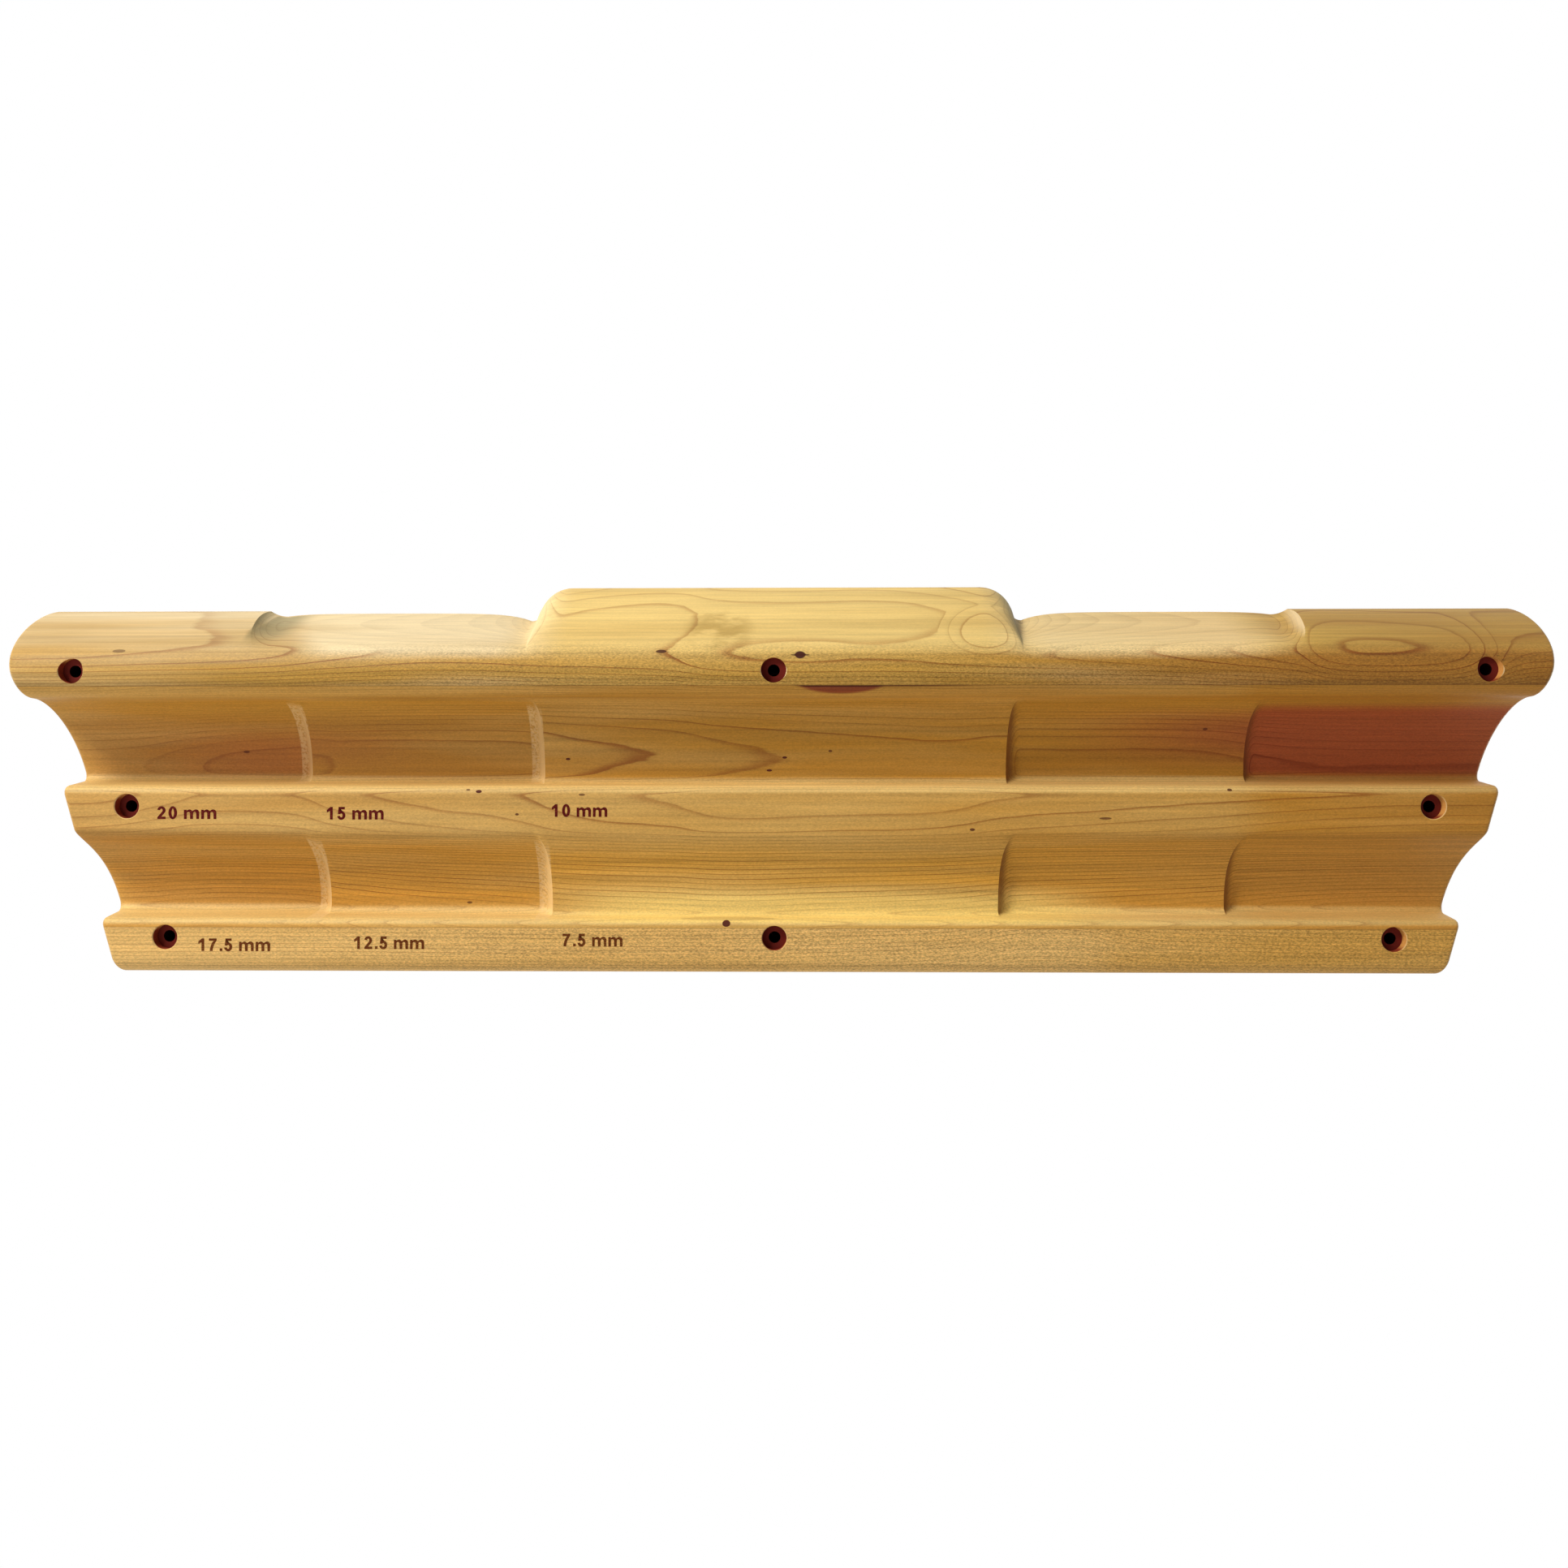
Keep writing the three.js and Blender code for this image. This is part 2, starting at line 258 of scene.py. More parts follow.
def columns_between(first, last):
    """Columns strictly between two columns, straight from one to the other."""
    share = np.linspace(0, 1, PLAIN + 1)[None, 1:-1, None]
    return first[:, None, :] * (1 - share) + last[:, None, :] * share


def unit(vectors):
    """The same directions, each one long; a direction of no length stays as it is."""
    return vectors / np.maximum(np.linalg.norm(vectors, axis=1), 1e-9)[:, None]


def end_columns(outline):
    """The outline drawn in by a quarter round, lying in the leaning plane of the board's end."""
    before = np.vstack([outline[:1], outline[:-1]])
    after = np.vstack([outline[1:], outline[-1:]])
    inward = unit(np.stack([before[:, 1] - after[:, 1], after[:, 0] - before[:, 0]], axis=1))
    edge = unit(np.stack([outline[:, 1] - before[:, 1], before[:, 0] - outline[:, 0]], axis=1))
    mitre = np.maximum(np.abs(np.sum(inward * edge, axis=1)), SHARPEST_MITRE)[:, None, None]
    angle = np.linspace(0, QUARTER_TURN, END_COLUMNS)[None, :]
    draw = END_ROUNDING * (1 - np.cos(angle))
    point = outline[:, None, :] + inward[:, None, :] * draw[:, :, None] / mitre
    wall = outline[:, 0] == 0
    point[wall, :, 0] = 0
    point[wall, :, 1] = outline[wall, 1][:, None] - np.sign(outline[wall, 1])[:, None] * draw
    x = HALF_LENGTH + END_LEAN * point[:, :, 1] - END_ROUNDING * (1 - np.sin(angle))
    return np.concatenate([x[:, :, None], point], axis=2)


def dipped(points, x, foot_x, step_x):
    """Points of the flat sloper at each x, its back edge dipping beside the block and the wing's step."""
    beside_block = BLOCK_DIP * np.exp((foot_x[:, None] - x) / DIP_REACH)
    beside_wing = WING_DIP * np.exp((x - step_x[:, None]) / DIP_REACH)
    back = 1 - points[:, :1] / CREST_DEPTH
    height = points[:, 1:] - back * (beside_block + beside_wing)
    return np.stack([np.broadcast_to(points[:, :1], x.shape), height], axis=2)


def half_board():
    """Grid of (x, depth, height): one row for each profile point, columns from the middle to the end."""
    low = slice(0, LOWER_ROWS)
    mid = slice(LOWER_ROWS, ROWS - TOP_ROWS)
    top = slice(ROWS - TOP_ROWS, ROWS)
    inner_steps, outer_steps = [], []
    for rows, (near, far) in ((low, LOWER_STEPS), (mid, UPPER_STEPS)):
        near_x = np.full(len(MIDDLE[rows]), near)
        far_x = np.full(len(MIDDLE[rows]), far)
        inner_steps.append(round_step(MIDDLE[rows], INNER[rows], CUTTER_RADIUS, near_x, -1)[:, ::-1])
        outer_steps.append(round_step(OUTER[rows], MIDDLE[rows], CUTTER_RADIUS, far_x, -1)[:, ::-1])
    back = 1 - MIDDLE[top, 0] / CREST_DEPTH
    foot_x = BLOCK_FOOT + BLOCK_FOOT_LEAN * back
    step_x = WING_STEP + WING_STEP_LEAN * back
    at_foot = dipped(MIDDLE[top], foot_x[:, None], foot_x, step_x)[:, 0]
    at_step = dipped(MIDDLE[top], step_x[:, None], foot_x, step_x)[:, 0]
    inner_steps.append(block_side(INNER[top], at_foot, foot_x))
    outer_steps.append(round_step(at_step, OUTER[top], WING_STEP_RADIUS, step_x, 1))
    inner_step, outer_step = np.vstack(inner_steps), np.vstack(outer_steps)
    field = columns_between(inner_step[:, -1], outer_step[:, 0])
    field[top, :, 1:] = dipped(MIDDLE[top], field[top, :, 0], foot_x, step_x)
    middle_column = inner_step[:, 0].copy()
    middle_column[:, 0] = 0
    ends = end_columns(OUTER)
    return np.concatenate([
        middle_column[:, None, :],
        columns_between(middle_column, inner_step[:, 0]),
        inner_step,
        field,
        outer_step,
        columns_between(outer_step[:, -1], ends[:, 0]),
        ends,
    ], axis=1)


def board_mesh():
    """The whole board as one closed grid, its two ends capped."""
    half = half_board()
    mirrored = half[:, :0:-1].copy()
    mirrored[..., 0] *= -1
    grid = np.concatenate([mirrored, half], axis=1)
    rows, columns = grid.shape[:2]
    points = np.stack([grid[..., 0], -grid[..., 1], grid[..., 2]], axis=2).reshape(-1, 3) * MM
    i, j = np.meshgrid(np.arange(rows), np.arange(columns - 1), indexing="ij")
    up = (i + 1) % rows
    quads = np.stack([i * columns + j, i * columns + j + 1, up * columns + j + 1, up * columns + j], axis=2)
    ends = [[r * columns for r in range(rows)], [r * columns + columns - 1 for r in reversed(range(rows))]]
    mesh = bpy.data.meshes.new("board")
    mesh.from_pydata(points.tolist(), [], quads.reshape(-1, 4).tolist() + ends)
    return mesh


# Screw holes and staves

def end_x(height):
    """Where the leaning end of the board is at this height."""
    return HALF_LENGTH + END_LEAN * height


def screw_places():
    """(x, height, depth of the face) of each counterbored hole."""
    places = []
    for height, face, with_middle in HOLE_ROWS:
        side = end_x(height) - HOLE_INSET
        places += [(x, height, face) for x in ((-side, 0.0, side) if with_middle else (-side, side))]
    return places


def bore_cutter():
    """Stepped cutters turned about each hole's axis: shank, head seat, and a small chamfer at the mouth."""
    angle = np.linspace(0, 2 * math.pi, BORE_SIDES, endpoint=False)
    points, faces = [], []
    for x, height, face in screw_places():
        seat = face - SEAT_DEPTH
        mouth = HEAD_BORE + BORE_CHAMFER
        turned = (
            (SHANK_BORE, -PAST_WALL), (SHANK_BORE, seat), (HEAD_BORE, seat), (HEAD_BORE, face - BORE_CHAMFER),
            (mouth, face), (HEAD_BORE + PAST_FACE, face + PAST_FACE),
        )
        first = len(points)
        for radius, depth in turned:
            across, up = x + radius * np.cos(angle), height + radius * np.sin(angle)
            points += (np.stack([across, np.full(BORE_SIDES, -depth), up], axis=1) * MM).tolist()
        k = np.arange(BORE_SIDES)
        after = (k + 1) % BORE_SIDES
        for r in range(len(turned) - 1):
            a, b = first + r * BORE_SIDES, first + (r + 1) * BORE_SIDES
            faces += np.stack([a + k, a + after, b + after, b + k], axis=1).tolist()
        faces.append((first + k[::-1]).tolist())
        faces.append((first + (len(turned) - 1) * BORE_SIDES + k).tolist())
    mesh = bpy.data.meshes.new("bores")
    mesh.from_pydata(points, [], faces)
    return mesh


def placed(name, data):
    """A new object in the scene."""
    obj = bpy.data.objects.new(name, data)
    bpy.context.scene.collection.objects.link(obj)
    return obj


def bored(board, cutter):
    """The board with the cutters taken away."""
    body, tool = placed("body", board), placed("tool", cutter)
    cut = body.modifiers.new("bores", "BOOLEAN")
    cut.operation = "DIFFERENCE"
    cut.solver = "EXACT"
    cut.object = tool
    graph = bpy.context.evaluated_depsgraph_get()
    mesh = bpy.data.meshes.new_from_object(body.evaluated_get(graph))
    for obj in (body, tool):
        bpy.data.objects.remove(obj)
    return mesh


def stave(name, mesh, low, high, materials):
    """The part of the board between two heights, its cut faces closed, its bores in two more materials."""
    weld, slack, wall_skin = 1e-7, 0.02, 0.1
    bm = bmesh.new()
    bm.from_mesh(mesh)
    for height, outer in ((low, False), (high, True)):
        if height is None:
            continue
        cut = bmesh.ops.bisect_plane(
            bm,
            geom=bm.verts[:] + bm.edges[:] + bm.faces[:],
            dist=weld,
            plane_co=(0, 0, height * MM),
            plane_no=(0, 0, 1),
            clear_outer=outer,
            clear_inner=not outer,
        )
        rim_edges = [e for e in cut["geom_cut"] if isinstance(e, bmesh.types.BMEdge)]
        bmesh.ops.triangle_fill(bm, edges=rim_edges, use_beauty=True)
    bmesh.ops.recalc_face_normals(bm, faces=bm.faces)
    for face in bm.faces:
        face.smooth = True
        centre = face.calc_center_median() / MM
        for x, height, _ in screw_places():
            away = math.hypot(centre.x - x, centre.z - height)
            if away < HEAD_BORE + slack and centre.y < -wall_skin:
                face.material_index = 2 if away < SHANK_BORE + slack else 1
    made = bpy.data.meshes.new(name)
    bm.to_mesh(made)
    bm.free()
    made.set_sharp_from_angle(angle=SHARP_ANGLE)
    for material in materials:
        made.materials.append(material)
    return placed(name, made)


# Nodes

class Signal:
    """A value that changes over a surface: a node's output, taken further by sums and products."""

    def __init__(self, socket):
        self.socket = socket
        self.tree = socket.id_data

    def __add__(self, other):
        return calc("ADD", self, other)

    def __sub__(self, other):
        return calc("SUBTRACT", self, other)

    def __rsub__(self, other):
        return calc("SUBTRACT", other, self)

    def __mul__(self, other):
        return calc("MULTIPLY", self, other)

    __radd__ = __add__
    __rmul__ = __mul__


def put(socket, value):
    """Joins a socket to a Signal, or sets its value."""
    if isinstance(value, Signal):
        value.tree.links.new(value.socket, socket)
    else:
        socket.default_value = value


def node(tree, kind, settings=None, **values):
    """A new node with its settings, and its sockets' values by name, with _ for a space."""
    made = tree.nodes.new(kind)
    for key, value in (settings or {}).items():
        setattr(made, key, value)
    for key, value in values.items():
        put(made.inputs[key.replace("_", " ")], value)
    return made


def out(made, name=0):
    """A node's output, by name or by number."""
    return Signal(made.outputs[name])


def parts(vector):
    """The three numbers of a vector."""
    split = node(vector.tree, "ShaderNodeSeparateXYZ", Vector=vector)
    return [Signal(part) for part in split.outputs]


def scaled(vector, amount):
    """A vector or a colour times a number."""
    made = node(vector.tree, "ShaderNodeVectorMath", {"operation": "SCALE"}, Scale=amount)
    put(made.inputs[0], vector)
    return out(made)


def calc(operation, *values, clamp=False):
    """One step of arithmetic, in the tree of the first Signal among its values."""
    tree = next(value.tree for value in values if isinstance(value, Signal))
    made = node(tree, "ShaderNodeMath", {"operation": operation, "use_clamp": clamp})
    for socket, value in zip(made.inputs, values):
        put(socket, value)
    return out(made)


def larger(first, second):
    """The larger of two numbers."""
    return calc("MAXIMUM", first, second)


def clamped(value):
    """The value kept between 0 and 1."""
    return calc("MULTIPLY", value, 1.0, clamp=True)


def ramp(value, low, high, to_low=0.0, to_high=1.0):
    """Smooth change from one value to another as the first runs from low to high."""
    made = node(
        value.tree, "ShaderNodeMapRange", {"interpolation_type": "SMOOTHSTEP"},
        Value=value, From_Min=low, From_Max=high, To_Min=to_low, To_Max=to_high,
    )
    return out(made)


def window(value, rising, falling):
    """1 between two smooth changes, each given by where it starts and ends."""
    return ramp(value, *rising) * ramp(value, falling[1], falling[0])


def mixed(share, first, second):
    """From the first number to the second as the share runs from 0 to 1."""
    return first + share * (second - first)


def linear(red, green, blue):
    """A colour as seen on a screen, 0 to 255 each, as Blender's linear colour."""
    values = [v / 255 for v in (red, green, blue)]
    return [v / 12.92 if v <= 0.04045 else ((v + 0.055) / 1.055) ** 2.4 for v in values] + [1.0]


def blend(factor, first, second, kind="MIX"):
    """One colour laid over another by a factor."""
    made = node(factor.tree, "ShaderNodeMix", {"data_type": "RGBA", "blend_type": kind})
    for index, value in ((0, factor), (6, first), (7, second)):
        put(made.inputs[index], value)
    return out(made, 2)


# Curves and colour runs reach this far either side of the middle, in millimetres
SPAN = 400.0


def share_of_span(value):
    """A place along the board as a share, from 0 at one end of the span to 1 at the other."""
    return value * (0.5 / SPAN) + 0.5


def curve(value, points):
    """A smooth curve through (position, number) pairs."""
    numbers = [number for _, number in points]
    low, rise = min(numbers), max(max(numbers) - min(numbers), 1e-6)
    made = node(value.tree, "ShaderNodeFloatCurve", Value=share_of_span(value))
    line = made.mapping.curves[0]
    places = [(share_of_span(place), (number - low) / rise) for place, number in points]
    places = [(0.0, places[0][1])] + places + [(1.0, places[-1][1])]
    while len(line.points) < len(places):
        line.points.new(0.5, 0.5)
    for point, place in zip(line.points, places):
        point.location = place
    made.mapping.update()
    return out(made) * rise + low


def tinted(value, stops):
    """A colour that runs through (position, colour) stops."""
    made = node(value.tree, "ShaderNodeValToRGB")
    elements = made.color_ramp.elements
    while len(elements) < len(stops):
        elements.new(0.5)
    for element, (place, colour) in zip(elements, stops):
        element.position = share_of_span(place)
        element.color = linear(*colour)
    put(made.inputs[0], share_of_span(value))
    return out(made)


# Noise in the wood: millimetres along and across the grain, detail, roughness, and its own offset
GRAIN = {
    "wobble": (60, 9, 3.0, 0.55, 0.0),
    "ripple": (14, 2.5, 2.0, 0.5, 3.1),
    "tone": (160, 14, 2.0, 0.5, 7.7),
    "band": (220, 2.2, 1.0, 0.5, 9.1),
    "streak": (45, 1.3, 3.0, 0.6, 1.3),
    "fibre": (7, 0.32, 2.0, 0.6, 5.9),
    "dots": (1.2, 0.6, 2.0, 0.6, 2.2),
    "stain": (16, 8, 3.0, 0.55, 4.4),
    "torn": (1.4, 1.1, 2.0, 0.6, 6.2),
    "bored": (1.2, 0.8, 2.0, 0.6, 0.0),
    "scorched": (1.6, 0.5, 2.0, 0.6, 0.0),
}


def grain(position, kind):
    """Noise drawn out along the board."""
    along, across, detail, rough, offset = GRAIN[kind]
    drawn = node(position.tree, "ShaderNodeVectorMath", {"operation": "MULTIPLY_ADD"})
    put(drawn.inputs[0], position)
    put(drawn.inputs[1], (1 / along, 1 / across, 1 / across))
    put(drawn.inputs[2], (offset, offset * 1.7, offset * 0.6))
    made = node(
        position.tree, "ShaderNodeTexNoise", {"noise_dimensions": "3D"},
        Vector=out(drawn), Scale=1.0, Detail=detail, Roughness=rough,
    )
    return out(made)


def swing(noise, amount):
    """Noise moved to run about zero, as far as half the amount either way."""
    return (noise - 0.5) * amount


# One growth ring, in shares of its width: where its late wood and its line begin, peak and end
LATE_WOOD = (0.2, 0.95)
LINE_START, LINE_PEAK, LINE_END = 0.72, 0.955, 0.99
LINE_SHARPNESS = 2.4
LINE_LEAST, LINE_CHANCE = 0.5, 0.7

# How far each noise changes the layers, the tone, the roughness and the relief
RIPPLE_SHARE = 0.22
WARMTH_SWING = 0.9
SHADE = {"band": 0.75, "streak": 0.36, "fibre": 0.16, "dots": 1.9, "late": 0.06}
SATIN, STREAK_ROUGHNESS, DARK_ROUGHNESS = 0.5, 0.12, 0.15
RELIEF = {"fibre": 0.6, "streak": 0.5, "line": 0.25}
BUMP_STRENGTH, BUMP_DISTANCE = 0.22, 0.0003
OIL_SPECULAR = 0.2

# Cut grain shows where the surface faces along the board
CUT_FACING, CUT_STRENGTH = (0.2, 0.7), 0.65
FLECK_EDGE, FLECK_DARKNESS = 0.8, 1.3
GLUE_HALF, GLUE_FADE = 0.1, 0.3


def wood_group():
    """Growth lines, fibres, flecks and tone of the oiled wood, from a layer coordinate in millimetres.

    A ring darkens slowly towards its late wood, ends in a thin line and starts again. Each ring's line
    has its own strength. The colour runs from pale to golden, and heart, cut grain and dark marks are
    laid over it. Through the cut colour and the dark marks a material also lays painted shade and
    painted highlights.
    """
    tree = bpy.data.node_groups.new("oiled_wood", "ShaderNodeTree")
    numbers = "Layers, Ring Width, Wobble, Line Strength, Speckle, Heart, Dark, Warmth, End Grain"
    for direction, kind, names in (
        ("INPUT", "NodeSocketVector", "Position"),
        ("INPUT", "NodeSocketFloat", numbers),
        ("INPUT", "NodeSocketColor", "Pale, Golden, Line, Heartwood, Knot, Cut"),
        ("OUTPUT", "NodeSocketColor", "Color"),
        ("OUTPUT", "NodeSocketFloat", "Roughness, Height"),
    ):
        for name in names.split(", "):
            tree.interface.new_socket(name, in_out=direction, socket_type=kind)
    given = {socket.name: Signal(socket) for socket in node(tree, "NodeGroupInput").outputs}
    result = node(tree, "NodeGroupOutput")
    wobble, ripple, tone, band, streak, fibre, dots = (
        grain(given["Position"], kind)
        for kind in ("wobble", "ripple", "tone", "band", "streak", "fibre", "dots")
    )

    bent = swing(wobble, 1.0) + swing(ripple, RIPPLE_SHARE)
    turn = calc("DIVIDE", given["Layers"] + bent * given["Wobble"], given["Ring Width"])
    part = calc("FRACT", turn)
    ring = calc("FLOOR", turn)
    chance = out(node(tree, "ShaderNodeTexWhiteNoise", {"noise_dimensions": "1D"}, W=ring))
    rise = calc("POWER", ramp(part, LINE_START, LINE_PEAK), LINE_SHARPNESS)
    line = rise * ramp(part, LINE_END, LINE_PEAK)
    late = ramp(part, *LATE_WOOD)
    strength = given["Line Strength"] * (chance * LINE_CHANCE + LINE_LEAST)

    warm = clamped(given["Warmth"] + swing(tone, WARMTH_SWING))
    colour = blend(warm, given["Pale"], given["Golden"])
    colour = blend(clamped(given["Heart"]), colour, given["Heartwood"])
    shade = (
        1.0
        + swing(band, SHADE["band"]) * given["Line Strength"]
        + swing(streak, SHADE["streak"])
        + swing(fibre, SHADE["fibre"])
        + swing(dots, SHADE["dots"]) * given["Speckle"]
        - late * SHADE["late"]
    )
    colour = blend(clamped(line * strength), scaled(colour, shade), given["Line"], "MULTIPLY")
    # The cut colour also carries painted shade and painted highlights on the steps' sides where a material
    # sets them
    colour = blend(given["End Grain"], colour, given["Cut"])
    put(result.inputs["Color"], blend(clamped(given["Dark"]), colour, given["Knot"]))
    rough = streak * STREAK_ROUGHNESS + given["Dark"] * DARK_ROUGHNESS + SATIN
    put(result.inputs["Roughness"], rough)
    relief = fibre * RELIEF["fibre"] + streak * RELIEF["streak"] - line * RELIEF["line"]
    put(result.inputs["Height"], relief + dots * given["Speckle"])
    return tree


WOOD = wood_group()


def ellipse(x, height, centre, half, full=0.6):
    """1 inside an ellipse seen from the front, through the whole depth, falling to 0 at its edge."""
    across = (x - centre[0]) * (1 / half[0])
    up = (height - centre[1]) * (1 / half[1])
    return ramp(across * across + up * up, 1.0, full)


def flecks(x, height, places):
    """Small dark flecks: place along and up the board, half width, half height and strength of each."""
    return sum(
        ellipse(x, height, (across, up), (half, tall), FLECK_EDGE) * (FLECK_DARKNESS * strength)
        for across, up, half, tall, strength in places
    )


def glue_line(height, joint, amount):
    """A thin dark line along a glued joint."""
    return ramp(calc("ABSOLUTE", height - joint), GLUE_FADE, GLUE_HALF, 0.0, amount)


def empty_material(name):
    """A new material with no nodes."""
    material = bpy.data.materials.new(name)
    material.use_nodes = True
    material.node_tree.nodes.clear()
    return material, material.node_tree


def bare(name):
    """A new material with only its shader."""
    material, tree = empty_material(name)
    shader = node(tree, "ShaderNodeBsdfPrincipled")
    node(tree, "ShaderNodeOutputMaterial", Surface=out(shader))
    return material, tree, shader


def coordinates(tree):
    """Object coordinates in millimetres: the place itself, and its x, depth and height."""
    position = scaled(out(node(tree, "ShaderNodeTexCoord"), "Object"), 1 / MM)
    x, y, height = parts(position)
    return position, x, y * -1.0, height


def facing(tree):
    """The surface's own direction, in its three parts."""
    return parts(out(node(tree, "ShaderNodeTexCoord"), "Normal"))


def layers(place, angle, shift, bow, swell, tilt):
    """Growth layers: parallel planes leaning by an angle in degrees, bowed about a line that is shifted
    along them, and swelling and tilting along the board."""
    x, depth, height = place
    c, s = math.cos(math.radians(angle)), math.sin(math.radians(angle))
    along = depth * s - height * c + shift
    return depth * c + height * s + curve(x, swell) + curve(x, tilt) * along + along * along * bow


def finish_wood(tree, shader, painted_step_light=0.0, **values):
    """Joins the shared wood group to a shader; the step mask is 1 where a step's side or rounded edge
    takes the cut colour: painted shade on the top stave, painted highlights on the centre stave.
    """
    cut = ramp(calc("ABSOLUTE", facing(tree)[0]), *CUT_FACING, 0.0, CUT_STRENGTH)
    group = node(tree, "ShaderNodeGroup", {"node_tree": WOOD}, End_Grain=larger(cut, painted_step_light), **values)
    relief = out(group, "Height")
    bump = node(tree, "ShaderNodeBump", Height=relief, Strength=BUMP_STRENGTH, Distance=BUMP_DISTANCE)
    put(shader.inputs["Base Color"], out(group, "Color"))
    put(shader.inputs["Roughness"], out(group, "Roughness"))
    put(shader.inputs["Normal"], out(bump))
    put(shader.inputs["Specular IOR Level"], OIL_SPECULAR)


# Tones that more than one place in the wood has
STRAW = (240, 205, 126)
# Cream marks a painted highlight and both olives a painted shade on the sides of the top's steps
CREAM_HIGHLIGHT = (250, 224, 176)
OLIVE_SHADE = (124, 115, 75)
SHADED_OLIVE = (126, 116, 70)
TAN = (214, 182, 128)
# Torn grain made paler as a painted highlight, and umber as painted shade, on the centre stave's steps
TORN_GRAIN_HIGHLIGHT = (230, 194, 134)
UMBER_SHADE = (118, 70, 34)

# Marks in the wood: centre along and up the board, and half width and height
BURR = ((97, 83), (21, 15))
STAIN = ((-26, 82.5), (19, 15))
KNOT = ((12.2, 70.2), (2.7, 2.0))
BARK = ((31.0, 57.4), (22.0, 5.4))
TOP_FLECKS = ((12.2, 70.2, 4.6, 0.6, 0.6), (-52.1, 72.0, 2.6, 0.9, 0.7), (-306.1, 72.7, 3.2, 0.9, 0.45))
CENTRE_FLECKS = (
    (-140.2, 7.0, 1.5, 0.8, 0.8), (-145.4, 7.8, 1.0, 0.5, 0.6), (-121.9, -3.8, 0.9, 0.6, 0.7),
    (-91.1, 5.5, 1.6, 0.6, 0.6), (-99.7, 22.6, 1.2, 0.6, 0.7), (-2.6, 17.1, 1.4, 0.6, 0.7),
    (4.8, 23.3, 1.2, 0.6, 0.7), (26.7, 26.4, 1.0, 0.6, 0.6), (93.3, -10.9, 1.3, 0.7, 0.7),
    (155.7, -5.6, 3.0, 0.6, 0.6), (214.0, 7.8, 1.2, 0.7, 0.7), (-148.7, -47.1, 1.4, 0.6, 0.6),
    (-260.7, 26.4, 1.6, 0.7, 0.6), (206.4, 36.9, 1.2, 0.7, 0.6), (-22.8, -55.6, 2.0, 1.6, 0.9),
    (-22.0, -53.6, 24.0, 0.7, 0.2),
)


